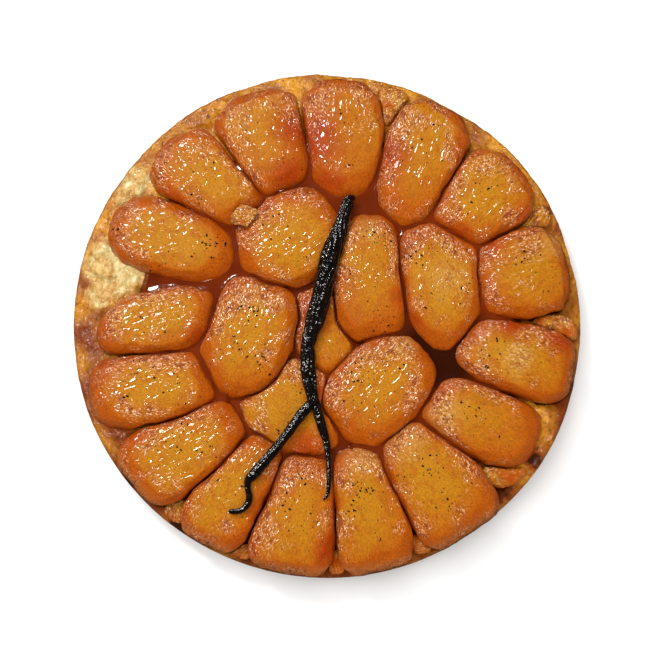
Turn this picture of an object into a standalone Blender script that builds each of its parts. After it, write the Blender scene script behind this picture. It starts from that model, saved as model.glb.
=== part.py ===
"""Tarte tatin: pressed apple slices on a round pastry, with a split vanilla pod on top.

Metres, +Z up. The tart lies flat on Z = 0 and its axis is the Z axis. Bearings are degrees
anticlockwise from +X.
"""

import math
from functools import cache
from typing import NamedTuple

import bmesh
import bpy
from mathutils import Vector

MM = 0.001
NAME = "tarte_tatin"

# Driving dimensions.
TART_RADIUS = 120 * MM
BASE_THICKNESS = 8 * MM
RIM_HEIGHT_BACK = 25 * MM  # at +Y
RIM_HEIGHT_FRONT = 16 * MM  # at -Y, where the slices reach the edge
GIRTH_HEIGHT = 20 * MM  # where a slice is widest
EDGE_WALL = 2.5 * MM  # dough left outside a slice that reaches the edge
GAP = 0.3 * MM  # between pieces that touch
PRESSED_GAP = 1.0 * MM  # between two slices, side by side
HIGHER_BY = 2 * MM  # a slice this much higher than its neighbour lies over it
TOP_SQUARENESS = 3.1  # exponents of a slice's section, above and below its girth
BOTTOM_SQUARENESS = 3.5
RIM_DEPTH = 32 * MM  # how far the dough reaches in between the slices, where there is room
RIM_CLEARANCE = 2.2 * MM
RIM_BUMP = 1.5 * MM
RIM_BUMPS = [(0.6, 5, 1.0), (0.4, 11, 2.0)]  # share, number round the tart and start of each wave
RIM_SCAN = 0.5 * MM  # step in which the way in from the edge is searched
# The rim's inner slope: how far before its foot, and which part of its height above the base.
INNER_SLOPE = [(4.5 * MM, 0.0), (1.5 * MM, 0.25), (0.0, 0.55), (-0.5 * MM, 0.9)]
CREST_START = 0.3  # parts of the rim's depth
CREST_END = 0.7
SHOULDER = (0.93, 0.92)  # parts of the rim's depth and of its height
OUTER_TOP = 0.75  # part of its height where the outside turns straight down
FOOT_CHAMFER = 3 * MM
POD_FLATNESS = 0.62  # thickness to width
POD_SLOPE = 0.12  # how steeply the pod sinks towards a dip
POD_STIFFNESS = 3  # rounds of evening out its height
SCRAP_PLACE = (-39 * MM, 48 * MM)
SCRAP_SIZE = (9 * MM, 7 * MM, 4.5 * MM)
SCRAP_FOOT = [(dx * MM, dy * MM) for dx in (-3, 0, 3) for dy in (-2, 0, 2)]

# Fineness of the solids.
SLICE_SEGMENTS = 16
SLICE_RINGS = 8
BIT_SEGMENTS = 12
BIT_RINGS = 6
PASTRY_STEPS = 120
POD_SIDES = 10
WELD = 0.01 * MM
SCAN_STEP = 1 * MM  # in which a slice's outline is searched
HALVINGS = 8  # rounds that then refine it
SMOOTH_ANGLE = math.radians(50)


class Slice(NamedTuple):
    """A slice of apple, seen from above. Lengths are in millimetres, angles in degrees."""

    name: str
    bearing: float  # of the slice's middle, round the tart
    distance: float  # of the slice's middle, from the tart's axis
    length: float
    width: float
    turn: float  # from the outward direction to the slice's length
    squareness: float = 2.4  # exponent of the outline: 2 is an ellipse, 4 nearly a rectangle
    taper: float = 0.0  # how much wider the far end is, as a part of the width
    bow: float = 0.0  # how far the middle is pushed to the left of the length
    top: float = 34.0


SLICES = [
    # The outer ring, anticlockwise from the right.
    Slice("slice_outer_01", 13.3, 94, 46, 41, 0, 2.9, 0.08),
    Slice("slice_outer_02", 38, 93.5, 51, 40, 0, 2.6, 0.08),
    Slice("slice_outer_03", 59.6, 88, 64, 38, 12, 2.4, 0.15),
    Slice("slice_outer_04", 85.3, 89, 59, 38, 10, 2.6, 0.12),
    Slice("slice_outer_05", 109, 91, 52, 42, -3, 2.8, 0.05),
    Slice("slice_outer_06", 130.3, 88, 56, 37, 13, 2.9),
    Slice("slice_outer_07", 152.3, 82.5, 63, 38, 12, 2.6),
    Slice("slice_outer_08", 181, 78.5, 61, 33, 13, 2.3),
    Slice("slice_outer_09", 201.7, 87.8, 57, 37, -18.7, 2.7),
    Slice("slice_outer_10", 223, 91, 61, 39, -17.5, 2.8),
    Slice("slice_outer_11", 242, 91, 57, 35, -4, 2.7, 0.1),
    Slice("slice_outer_12", 261, 92, 56, 40, -3, 2.8, 0.2),
    Slice("slice_outer_13", 281.8, 91, 59, 34, -0.6, 2.7, 0.2),
    Slice("slice_outer_14", 303, 91.5, 62, 42, 2, 2.8, 0.05),
    Slice("slice_outer_15", 325.8, 86, 57, 35, 14, 3.0, 0.0),
    Slice("slice_outer_16", 348.3, 90, 59, 35, -4, 2.7, 0.15),
    # The middle of the tart.
    Slice("slice_inner_01", 115.5, 42.8, 50, 43, -86, 2.8),
    Slice("slice_inner_02", 44.5, 28, 60, 33, 47, 2.8, -0.1),
    Slice("slice_inner_03", 17, 55.5, 60, 40, 82, 2.3, 0.2),
    Slice("slice_inner_04", 306.5, 41, 54, 42, 98, 2.8),
    Slice("slice_inner_05", 248, 43.5, 52, 43, -113, 2.6, 0.0, 0.0, 29),
    Slice("slice_inner_06", 190.5, 37.5, 58, 42, -120, 2.4),
    Slice("slice_inner_07", 251, 5.5, 42, 30, -140, 2.6, 0.0, 0.0, 28),
]

BITS = [
    # Scraps of apple along the rim.
    Slice("apple_bit_01", 74.5, 108, 23, 15, -14, 2.4, 0.0, 0.0, 26),
    Slice("apple_bit_02", 27, 109, 17, 11, -21, 2.4, 0.0, 0.0, 25),
    Slice("apple_bit_03", 358.2, 108, 21, 10, -18, 2.4, 0.0, 0.0, 25),
    Slice("apple_bit_04", 319.7, 108, 21, 13, 55, 2.4, 0.0, 0.0, 25),
    Slice("apple_bit_05", 293.5, 113, 13, 9, 60, 2.4, 0.0, 0.0, 23),
    Slice("apple_bit_06", 249.6, 112, 14, 12, 170, 2.4, 0.0, 0.0, 23),
    Slice("apple_bit_07", 232, 112, 13, 11, 188, 2.4, 0.0, 0.0, 23),
    Slice("apple_bit_08", 272.2, 110, 17, 9, 0, 2.4, 0.0, 0.0, 23),
]

PIECES = SLICES + BITS

# The pod lies on the slices. Route points are (x, y, width) in millimetres, from its thin end.
POD_BODY = [
    (12.8, 55.7, 3.2),
    (11.2, 56.5, 4.1),
    (9.8, 54.7, 5.3),
    (8.7, 51.3, 5.8),
    (5.7, 41.0, 7.2),
    (1.2, 28.7, 9.3),
    (-2.1, 12.5, 8.6),
    (-5.5, 0.3, 8.9),
    (-8.9, -12.2, 6.4),
    (-9.2, -16.1, 7.0),
    (-9.1, -21.2, 6.9),
    (-8.9, -25.6, 6.7),
]
POD_LEFT_TAIL = [
    (-10.3, -25.9, 3.7),
    (-8.7, -31.9, 4.4),
    (-7.8, -37.4, 3.7),
    (-7.7, -39.7, 4.4),
    (-12.3, -45.4, 5.0),
    (-21.7, -58.3, 4.2),
    (-32.5, -71.6, 4.8),
    (-35.9, -75.1, 3.9),
    (-36.3, -79.0, 2.8),
    (-35.6, -82.9, 2.9),
    (-36.8, -86.8, 2.8),
    (-40.2, -89.3, 2.6),
    (-45.2, -89.5, 2.1),
]
POD_RIGHT_TAIL = [
    (-6.9, -26.9, 3.2),
    (-6.6, -33.4, 3.7),
    (-5.6, -39.9, 4.2),
    (-2.9, -49.4, 4.4),
    (-0.6, -57.3, 3.2),
    (0.4, -65.7, 2.5),
    (0.6, -75.5, 2.1),
    (0.1, -81.4, 1.6),
    (-1.9, -84.4, 0.9),
]


# --- Outlines of the slices -------------------------------------------------------------


def middle(piece):
    """The slice's middle, in metres."""
    bearing = math.radians(piece.bearing)
    distance = piece.distance * MM
    return distance * math.cos(bearing), distance * math.sin(bearing)


def heading(piece):
    """The direction of the slice's length, in radians."""
    return math.radians(piece.bearing + piece.turn)


def level(piece, x, y):
    """0 at the slice's middle and 1 on its outline: a tapered, bowed superellipse."""
    centre_x, centre_y = middle(piece)
    cosine = math.cos(heading(piece))
    sine = math.sin(heading(piece))
    dx = x - centre_x
    dy = y - centre_y
    along = (dx * cosine + dy * sine) / (piece.length / 2 * MM)
    across = -dx * sine + dy * cosine - piece.bow * MM * (1 - along**2)
    half_width = piece.width / 2 * MM * max(0.3, 1 + piece.taper * along)
    power = piece.squareness
    return (abs(along) ** power + abs(across / half_width) ** power) ** (1 / power)


def holds(piece, others, x, y):
    """Whether the slice fills this spot, pressed by its neighbours.

    Slices of one height meet where they are equally far out in both outlines. A higher slice
    keeps its outline, and the lower one ends at it. None reaches past the tart's edge.
    """
    own = level(piece, x, y)
    if own > 1 or math.hypot(x, y) > TART_RADIUS - EDGE_WALL:
        return False
    for other in others:
        theirs = level(other, x, y)
        rise = (other.top - piece.top) * MM
        if rise > HIGHER_BY:
            if theirs < 1:
                return False
        elif rise >= -HIGHER_BY and theirs < own:
            return False
    return True


@cache
def neighbours(piece):
    """The pieces close enough to press on this one."""
    x, y = middle(piece)
    found = []
    for other in PIECES:
        other_x, other_y = middle(other)
        span = (piece.length + other.length) / 2 * MM
        if other is not piece and math.hypot(other_x - x, other_y - y) < span:
            found.append(other)
    return found


@cache
def core(piece):
    """The middle of what its neighbours leave of the slice, in metres."""
    others = neighbours(piece)
    centre_x, centre_y = middle(piece)
    steps = math.ceil(piece.length / 2 * MM / SCAN_STEP)
    held = []
    for column in range(-steps, steps + 1):
        for row in range(-steps, steps + 1):
            x = centre_x + column * SCAN_STEP
            y = centre_y + row * SCAN_STEP
            if holds(piece, others, x, y):
                held.append((x, y))
    return sum(x for x, _ in held) / len(held), sum(y for _, y in held) / len(held)


def reach(piece, angle):
    """How far the pressed slice extends from its core, in this direction."""
    others = neighbours(piece)
    core_x, core_y = core(piece)
    cosine = math.cos(angle)
    sine = math.sin(angle)
    step = SCAN_STEP
    inside = 0.0
    while holds(piece, others, core_x + (inside + step) * cosine, core_y + (inside + step) * sine):
        inside += step
    for _ in range(HALVINGS):
        step /= 2
        if holds(piece, others, core_x + (inside + step) * cosine, core_y + (inside + step) * sine):
            inside += step
    return inside - PRESSED_GAP / 2


def outline_angle(piece, part):
    """The direction of one of the outline's points, evenly spread along a long slice."""
    turn = 2 * math.pi * part
    return heading(piece) + math.atan2(piece.width * math.sin(turn), piece.length * math.cos(turn))


# --- Solids -----------------------------------------------------------------------------


def squared(sine, power):
    """How far out and how far up a squared-off round section is, at this slope."""
    cosine = math.sqrt(max(0.0, 1 - sine**2))
    size = (cosine**power + abs(sine) ** power) ** (-1 / power)
    return cosine * size, sine * size


def surface_height(x, y):
    """The top of the slices and the pastry at this spot."""
    height = BASE_THICKNESS
    for piece in SLICES:
        core_x, core_y = core(piece)
        dx = x - core_x
        dy = y - core_y
        distance = math.hypot(dx, dy)
        if distance > piece.length * MM:
            continue
        out = distance / reach(piece, math.atan2(dy, dx))
        if out < 1:
            rise = (1 - out**TOP_SQUARENESS) ** (1 / TOP_SQUARENESS)
            height = max(height, GIRTH_HEIGHT + (piece.top * MM - GIRTH_HEIGHT) * rise)
    return height


def material(name, colour, roughness):
    """A Principled material of this linear colour."""
    made = bpy.data.materials.new(name)
    made.use_nodes = True
    shader = made.node_tree.nodes["Principled BSDF"]
    shader.inputs["Base Color"].default_value = (*colour, 1)
    shader.inputs["Roughness"].default_value = roughness
    shader.inputs["Metallic"].default_value = 0
    return made


def file_under(obj, collection, name):
    """Names an object and moves it to its collection."""
    obj.name = name
    obj.data.name = name
    for old in list(obj.users_collection):
        old.objects.unlink(obj)
    collection.objects.link(obj)


def finish(obj, own_material):
    """Shades a round piece smooth and gives it its material."""
    obj.data.shade_smooth()
    obj.data.set_sharp_from_angle(angle=SMOOTH_ANGLE)
    obj.data.materials.clear()
    obj.data.materials.append(own_material)


def plain_mesh(obj, collection, name):
    """Replaces a curve, or an object with modifiers, by its welded mesh."""
    view = bpy.context.evaluated_depsgraph_get()
    mesh = bpy.data.meshes.new_from_object(obj.evaluated_get(view))
    body = bmesh.new()
    body.from_mesh(mesh)
    bmesh.ops.remove_doubles(body, verts=body.verts, dist=WELD)
    body.to_mesh(mesh)
    body.free()
    made = bpy.data.objects.new(name, mesh)
    made.matrix_world = obj.matrix_world
    bpy.data.objects.remove(obj)
    file_under(made, collection, name)
    return made


def make_slice(piece, segments, rings, collection, own_material):
    """A slice: a sphere drawn out to the pressed outline, flat below and squared off above."""
    bpy.ops.mesh.primitive_uv_sphere_add(segments=segments, ring_count=rings, radius=1)
    obj = bpy.context.object
    file_under(obj, collection, piece.name)
    core_x, core_y = core(piece)
    outline = []
    for segment in range(segments):
        angle = outline_angle(piece, segment / segments)
        outline.append((angle, reach(piece, angle)))
    for vertex in obj.data.vertices:
        x, y, z = vertex.co
        segment = round(math.atan2(y, x) / (2 * math.pi) * segments) % segments
        angle, length = outline[segment]
        if z > 0:
            out, rise = squared(z, TOP_SQUARENESS)
            height = GIRTH_HEIGHT + (piece.top * MM - GIRTH_HEIGHT) * rise
        else:
            out, rise = squared(z, BOTTOM_SQUARENESS)
            height = GIRTH_HEIGHT + (GIRTH_HEIGHT - BASE_THICKNESS - GAP) * rise
        out_x = core_x + length * out * math.cos(angle)
        out_y = core_y + length * out * math.sin(angle)
        vertex.co = (out_x, out_y, height)
    finish(obj, own_material)


def make_scrap(collection, own_material):
    """The small scrap lying on the inner end of a slice."""
    bpy.ops.mesh.primitive_uv_sphere_add(segments=BIT_SEGMENTS, ring_count=BIT_RINGS, radius=1)
    obj = bpy.context.object
    file_under(obj, collection, "apple_bit_09")
    x, y = SCRAP_PLACE
    ground = max(surface_height(x + dx, y + dy) for dx, dy in SCRAP_FOOT)
    for vertex in obj.data.vertices:
        vertex.co.x = x + vertex.co.x * SCRAP_SIZE[0] / 2
        vertex.co.y = y + vertex.co.y * SCRAP_SIZE[1] / 2
        vertex.co.z = ground + GAP + (vertex.co.z + 1) * SCRAP_SIZE[2] / 2
    finish(obj, own_material)


# --- The pastry -------------------------------------------------------------------------


def slices_edge(bearing):
    """How far out the slices come at this bearing, or where full dough ends between them."""
    furthest = TART_RADIUS - RIM_DEPTH
    x = math.cos(bearing)
    y = math.sin(bearing)
    for piece in PIECES:
        distance = TART_RADIUS
        others = neighbours(piece)
        while distance > furthest and not holds(piece, others, distance * x, distance * y):
            distance -= RIM_SCAN
        furthest = max(furthest, distance)
    return furthest


def rim_height(bearing):
    """The rim's crest: highest at the back, lowest at the front, and uneven."""
    middle_height = (RIM_HEIGHT_BACK + RIM_HEIGHT_FRONT) / 2
    swing = (RIM_HEIGHT_BACK - RIM_HEIGHT_FRONT) / 2
    bumps = sum(share * math.sin(number * bearing + start) for share, number, start in RIM_BUMPS)
    return middle_height + swing * math.sin(bearing) + RIM_BUMP * bumps


def make_pastry(collection, own_material):
    """The pastry: a turned dish whose rim is then drawn in between the slices."""
    edge = TART_RADIUS
    foot = edge - RIM_DEPTH
    crest = RIM_HEIGHT_BACK
    profile = [(0.0, BASE_THICKNESS)]
    for before_foot, part in INNER_SLOPE:
        profile.append((foot - before_foot, BASE_THICKNESS + part * (crest - BASE_THICKNESS)))
    profile += [
        (foot + CREST_START * RIM_DEPTH, crest),
        (foot + CREST_END * RIM_DEPTH, crest),
        (foot + SHOULDER[0] * RIM_DEPTH, SHOULDER[1] * crest),
        (edge, OUTER_TOP * crest),
        (edge, FOOT_CHAMFER),
        (edge - FOOT_CHAMFER, 0.0),
        (0.0, 0.0),
    ]
    mesh = bpy.data.meshes.new("pastry_profile")
    edges = [(i, i + 1) for i in range(len(profile) - 1)]
    mesh.from_pydata([(radius, 0, height) for radius, height in profile], edges, [])
    turned = bpy.data.objects.new("pastry_profile", mesh)
    collection.objects.link(turned)
    screw = turned.modifiers.new("Turn", "SCREW")
    screw.steps = PASTRY_STEPS
    screw.render_steps = PASTRY_STEPS
    screw.use_merge_vertices = True
    screw.merge_threshold = WELD
    obj = plain_mesh(turned, collection, "pastry")

    edges_reached = [slices_edge(2 * math.pi * step / PASTRY_STEPS) for step in range(PASTRY_STEPS)]
    for vertex in obj.data.vertices:
        x, y, z = vertex.co
        radius = math.hypot(x, y)
        bearing = math.atan2(y, x)
        step = round(bearing / (2 * math.pi) * PASTRY_STEPS)
        near = [edges_reached[(step + offset) % PASTRY_STEPS] for offset in (-1, 0, 1)]
        inside = max(near) + RIM_CLEARANCE
        if z > BASE_THICKNESS + WELD:
            part = (z - BASE_THICKNESS) / (crest - BASE_THICKNESS)
            z = BASE_THICKNESS + part * (rim_height(bearing) - BASE_THICKNESS)
        if radius < WELD:
            continue
        if radius < foot:
            drawn = radius + inside - foot
        else:
            drawn = inside + (radius - foot) / (edge - foot) * (edge - inside)
        if z < WELD or radius > edge - WELD:
            drawn = radius
        vertex.co = (drawn * math.cos(bearing), drawn * math.sin(bearing), z)
    finish(obj, own_material)


# --- The vanilla pod --------------------------------------------------------------------


def smooth_route(points, pieces):
    """Points along a smooth curve through the route's own points, with the width."""
    route = [Vector(point) for point in points]
    ends = [2 * route[0] - route[1]] + route + [2 * route[-1] - route[-2]]
    made = []
    for before, start, end, after in zip(ends, ends[1:], ends[2:], ends[3:]):
        for piece in range(pieces):
            t = piece / pieces
            bend = 2 * start + (end - before) * t + (2 * before - 5 * start + 4 * end - after) * t**2
            made.append((bend + (3 * start - before - 3 * end + after) * t**3) / 2)
    made.append(route[-1])
    return made


def resting_heights(route):
    """The height of the pod's middle along its route: laid over the slices, bridging dips."""
    lowest = []
    for point in route:
        x, y, width = point * MM
        side = 0.4 * width
        spots = [(x, y), (x - side, y), (x + side, y), (x, y - side), (x, y + side)]
        ground = max(surface_height(*spot) for spot in spots)
        lowest.append(ground + width * POD_FLATNESS / 2 + GAP)
    heights = []
    for here in route:
        held = []
        for there, height in zip(route, lowest):
            held.append(height - POD_SLOPE * math.dist(here[:2], there[:2]) * MM)
        heights.append(max(held))
    for _ in range(POD_STIFFNESS):
        ends = heights[:1] + heights + heights[-1:]
        level_with = [(before + after) / 2 for before, after in zip(ends, ends[2:])]
        heights = [max(pair) for pair in zip(lowest, level_with)]
    return heights


def make_strand(name, points, section, collection):
    """A flattened strand of the pod along its route, as a closed mesh."""
    route = smooth_route(points, 2)
    heights = resting_heights(route)
    curve = bpy.data.curves.new(name, "CURVE")
    curve.dimensions = "3D"
    curve.twist_mode = "Z_UP"
    curve.bevel_mode = "OBJECT"
    curve.bevel_object = section
    curve.use_fill_caps = True
    spline = curve.splines.new("POLY")
    spline.points.add(len(route) - 1)
    for spot, point, height in zip(spline.points, route, heights):
        spot.co = (point.x * MM, point.y * MM, height, 1)
        spot.radius = point.z * MM
    obj = bpy.data.objects.new(name, curve)
    collection.objects.link(obj)
    return plain_mesh(obj, collection, name)


def make_pod(collection, helpers, own_material):
    """The pod: a flattened body that splits into two tails, joined into one solid."""
    outline = bpy.data.curves.new("pod_section", "CURVE")
    spline = outline.splines.new("POLY")
    spline.points.add(POD_SIDES - 1)
    spline.use_cyclic_u = True
    for side, spot in enumerate(spline.points):
        angle = -2 * math.pi * side / POD_SIDES
        spot.co = (0.5 * math.cos(angle), 0.5 * POD_FLATNESS * math.sin(angle), 0, 1)
    section = bpy.data.objects.new("pod_section", outline)
    section.hide_render = True
    section.display_type = "WIRE"
    helpers.objects.link(section)

    pod = make_strand("vanilla_pod", POD_BODY, section, collection)
    for name, route in (("pod_left_tail", POD_LEFT_TAIL), ("pod_right_tail", POD_RIGHT_TAIL)):
        tail = make_strand(name, route, section, helpers)
        tail.hide_render = True
        tail.display_type = "WIRE"
        union = pod.modifiers.new(name, "BOOLEAN")
        union.operation = "UNION"
        union.solver = "EXACT"
        union.object = tail
    finish(pod, own_material)


# --- The tart ---------------------------------------------------------------------------

for old_object in list(bpy.data.objects):
    bpy.data.objects.remove(old_object)

parts = bpy.data.collections.new(NAME)
helpers = bpy.data.collections.new(f"{NAME}_helpers")
bpy.context.scene.collection.children.link(parts)
bpy.context.scene.collection.children.link(helpers)

apple = material("apple", (0.62, 0.22, 0.02), 0.25)
crust = material("crust", (0.66, 0.36, 0.09), 0.6)
vanilla = material("vanilla", (0.008, 0.006, 0.005), 0.3)

make_pastry(parts, crust)
for each in SLICES:
    make_slice(each, SLICE_SEGMENTS, SLICE_RINGS, parts, apple)
for each in BITS:
    make_slice(each, BIT_SEGMENTS, BIT_RINGS, parts, apple)
make_scrap(parts, apple)
make_pod(parts, helpers, vanilla)
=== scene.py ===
"""Tarte tatin, dressed: camera, light and floor, then slices, pastry, caramel, pod and seeds."""

import math
import random
from collections import namedtuple

import bmesh
import bpy
import numpy as np
from mathutils import Matrix, Vector, noise
from mathutils.bvhtree import BVHTree


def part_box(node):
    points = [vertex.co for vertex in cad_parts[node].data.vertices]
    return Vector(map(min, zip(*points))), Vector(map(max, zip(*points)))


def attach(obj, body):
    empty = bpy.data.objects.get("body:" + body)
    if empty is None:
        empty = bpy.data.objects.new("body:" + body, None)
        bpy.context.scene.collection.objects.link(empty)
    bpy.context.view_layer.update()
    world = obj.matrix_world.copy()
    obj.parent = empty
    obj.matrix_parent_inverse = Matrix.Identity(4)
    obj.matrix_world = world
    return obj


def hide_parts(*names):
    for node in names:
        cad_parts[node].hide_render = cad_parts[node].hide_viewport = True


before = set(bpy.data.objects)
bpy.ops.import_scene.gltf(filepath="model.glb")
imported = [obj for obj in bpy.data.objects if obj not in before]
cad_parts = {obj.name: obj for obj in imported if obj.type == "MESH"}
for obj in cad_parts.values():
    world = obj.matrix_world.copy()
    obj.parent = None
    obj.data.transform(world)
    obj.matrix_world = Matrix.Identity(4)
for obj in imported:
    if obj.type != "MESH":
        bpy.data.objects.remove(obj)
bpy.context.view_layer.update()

# --- Camera, light and floor ------------------------------------------------------------
# The tart lies on a matt white table and is looked at from almost straight above. A window
# behind it on the left lights the far side of every slice and leaves the near side darker.

MM = 0.001
VIEW_TILT = math.radians(82)
VIEW_DISTANCE = 732 * MM
AIM = -0.15 * MM

camera_data = bpy.data.cameras.new("camera")
camera_data.lens = 82.8
camera_data.sensor_width = 36
camera = bpy.data.objects.new("camera", camera_data)
camera.location = (0, AIM - VIEW_DISTANCE * math.cos(VIEW_TILT), VIEW_DISTANCE * math.sin(VIEW_TILT))
camera.rotation_euler = (math.pi / 2 - VIEW_TILT, 0, 0)
bpy.context.scene.collection.objects.link(camera)
bpy.context.scene.camera = camera
bpy.context.scene.view_settings.view_transform = "Standard"


def linear(hex_colour):
    """A linear colour from an sRGB hex value such as #C98718."""
    parts = [int(hex_colour[i : i + 2], 16) / 255 for i in (1, 3, 5)]
    return tuple(p / 12.92 if p <= 0.04045 else ((p + 0.055) / 1.055) ** 2.4 for p in parts) + (1,)


def add(tree, kind, inputs=None, **settings):
    """Adds a node with its settings, input values and input links."""
    made = tree.nodes.new("ShaderNode" + kind)
    for key, value in settings.items():
        setattr(made, key, value)
    for key, value in (inputs or {}).items():
        if isinstance(value, bpy.types.NodeSocket):
            tree.links.new(value, made.inputs[key])
        else:
            made.inputs[key].default_value = value
    return made


def new_material(name):
    """An empty material with its node tree and its output node."""
    made = bpy.data.materials.new(name)
    made.use_nodes = True
    made.node_tree.nodes.clear()
    return made, made.node_tree, made.node_tree.nodes.new("ShaderNodeOutputMaterial")


def object_of(body, name):
    """A finished piece from a bmesh, at the origin, shaded smooth."""
    mesh = bpy.data.meshes.new(name)
    body.to_mesh(mesh)
    body.free()
    mesh.shade_smooth()
    made = bpy.data.objects.new(name, mesh)
    bpy.context.scene.collection.objects.link(made)
    return made


def area_light(name, place, size, power, colour, mirrored):
    """A soft rectangular light that faces the tart, and may or may not be mirrored in it."""
    data = bpy.data.lights.new(name, "AREA")
    data.shape = "RECTANGLE"
    data.size, data.size_y = size
    data.energy = power
    data.color = linear(colour)[:3]
    light = bpy.data.objects.new(name, data)
    light.visible_glossy = mirrored
    light.location = place
    light.rotation_euler = Vector(place).to_track_quat("Z", "Y").to_euler()
    bpy.context.scene.collection.objects.link(light)


# Only the small window is mirrored, so the glaze shows it as small bright points and no haze.
area_light("window", (-0.58, 0.74, 1.25), (0.34, 0.34), 12, "#FFFFFF", True)
area_light("ceiling", (-0.25, 0.3, 1.8), (1.4, 1.2), 24, "#FFFFFF", False)
area_light("fill", (0.5, -1.1, 1.5), (1.6, 1.0), 14, "#FFFFFF", False)

world = bpy.data.worlds.new("studio")
world.use_nodes = True
world.node_tree.nodes["Background"].inputs[0].default_value = linear("#FFFFFF")
world.node_tree.nodes["Background"].inputs[1].default_value = 0.3
bpy.context.scene.world = world
world.cycles_visibility.glossy = False

# Matt white paint: bright and without gloss.
table_top = bmesh.new()
bmesh.ops.create_grid(table_top, x_segments=1, y_segments=1, size=3)
floor = object_of(table_top, "floor")
painted, tree, output = new_material("matt_white_paint")
shader = add(tree, "BsdfPrincipled", {"Base Color": linear("#F7F7F6"), "Roughness": 0.8})
tree.links.new(shader.outputs[0], output.inputs[0])
floor.data.materials.append(painted)
floor.visible_glossy = False

# --- Apple slices -----------------------------------------------------------------------
# Peeled apple quarters, stewed soft in caramel and turned out of the tin: flat ochre tops
# where the tin pressed them, orange shoulders and brown sides. Each is its solid rounded
# off, swollen until it meets its neighbours, then wrinkled.

SLICE_LEVELS = 3
BIT_LEVELS = 2
SWELL = 2.3 * MM  # at most, towards a neighbour
SWELL_SHARE = 0.48  # of the gap to the neighbour
FEEL = 5 * MM  # how far a neighbour is looked for
REACH_FRONT = 117 * MM  # from the tart's axis, past which nothing swells
REACH_BACK = 109 * MM
FLAT_BELOW_TOP = 2.2 * MM
CROWN_KEPT = 0.25  # of what stands above the pressed flat top
LEAN = 6 * MM  # how far a slice's top falls away to one side
BIT_CALM = 0.4  # the share of all this relief on a small scrap
WRINKLE = 0.07 * MM
LIT_SIDE = np.array((-0.62, 0.78, 0))  # towards the window

# How yellow a slice is, which way the yellow lies, and its red, brown and pale spots. A spot
# is (x, y, radius): from the slice's middle in parts of half its size, and in millimetres.
# Then come its parallel folds: (x, y, radius, direction in degrees, spacing, height).
# The last is how much less it swells than the others.
Look = namedtuple("Look", "ripe pull red brown pale folds loose", defaults=(0.6, (0, 0), (), (), (), (), 0))
LOOKS = {
    "slice_outer_01": Look(
        0.6, (0.3, 0.3), brown=((-0.8, 0.7, 9),), pale=((0.6, 0.7, 9),),
        folds=((0.1, 0.45, 17, 12, 3.4, 0.6), (-0.1, -0.35, 9, 25, 3.2, 0.4)),
    ),
    "slice_outer_02": Look(
        0.8, (-0.2, 0.5), red=((0.9, -0.5, 9), (-0.5, -0.9, 8)), folds=((0.5, -0.5, 12, 40, 3, 0.45),),
    ),
    "slice_outer_03": Look(
        0.45, (0.5, 0.5), red=((-0.7, 0.1, 11),), brown=((0.85, 0.1, 9), (0.7, 0.85, 7)),
    ),
    "slice_outer_04": Look(0.2, (0.5, 0.3), red=((-0.6, 0.0, 15), (-0.4, -0.8, 10))),
    "slice_outer_05": Look(0.45, (-0.6, 0.4), red=((0.7, 0.2, 13), (0.6, -0.7, 11))),
    "slice_outer_06": Look(0.7, (0.4, 0.1), red=((-0.6, -0.7, 11),)),
    "slice_outer_07": Look(0.9, (0.0, 0.1), red=((0.8, 0.8, 9),), loose=0.7),
    "slice_outer_08": Look(0.95, (-0.3, 0.5), red=((0.8, -0.6, 9),), loose=0.7),
    "slice_outer_09": Look(0.8, (0.3, 0.0), brown=((-0.8, 0.8, 9),)),
    "slice_outer_10": Look(0.85, (0.2, -0.4), brown=((-0.75, 0.55, 9), (-0.1, 0.95, 9))),
    "slice_outer_11": Look(0.6, (-0.7, 0.2), brown=((0.8, -0.3, 12), (0.3, -0.9, 9))),
    "slice_outer_12": Look(0.55, (0.0, -0.3), red=((0.9, -0.5, 10), (-0.7, 0.9, 9))),
    "slice_outer_13": Look(
        0.6, (-0.4, 0.1), brown=((0.9, 0.6, 9),), pale=((-0.3, 0.8, 9),),
        folds=((-0.2, 0.75, 13, -20, 2.6, 0.45),),
    ),
    "slice_outer_14": Look(0.7, (-0.3, 0.2), brown=((0.9, 0.7, 8),), pale=((-0.6, 0.7, 12),)),
    "slice_outer_15": Look(0.4, (-0.3, 0.5), pale=((-0.6, 0.1, 10),), loose=0.7),
    "slice_outer_16": Look(
        0.7, (-0.2, 0.0), red=((0.7, 0.5, 9), (-0.1, 0.8, 7)), pale=((0.0, 0.0, 9),),
        folds=((0, 0.1, 14, -22, 2, 0.35), (0.5, 0.6, 15, -32, 3.2, 0.7)), loose=0.7,
    ),
    "slice_inner_01": Look(0.8, (0.2, -0.4), brown=((-0.6, 0.8, 10), (0.1, 0.9, 8))),
    "slice_inner_02": Look(0.5, (0.0, 0.4), brown=((0.9, -0.3, 6), (-0.9, 0.0, 6)), pale=((0.0, 0.7, 8),)),
    "slice_inner_03": Look(1.0, (0.2, 0.1), red=((-0.8, -0.6, 8),), pale=((0.1, 0.1, 11),)),
    "slice_inner_04": Look(0.65, (-0.1, 0.5), red=((0.8, -0.6, 12),), pale=((0.4, 0.8, 8),)),
    "slice_inner_05": Look(0.8, (-0.7, 0.3), brown=((0.9, 0.3, 14), (0.3, -0.9, 12))),
    "slice_inner_06": Look(0.75, (0.0, 0.2)),
    "slice_inner_07": Look(0.5, (0.4, 0.0), brown=((-0.6, 0.3, 14),)),
}


def merged(node):
    """A bmesh of a CAD solid, with its corners merged and its flat pairs joined to quads."""
    body = bmesh.new()
    body.from_mesh(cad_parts[node].data)
    bmesh.ops.remove_doubles(body, verts=body.verts, dist=0.01 * MM)
    wide = math.radians(60)
    bmesh.ops.join_triangles(body, faces=body.faces, angle_face_threshold=wide, angle_shape_threshold=wide)
    return body


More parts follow.
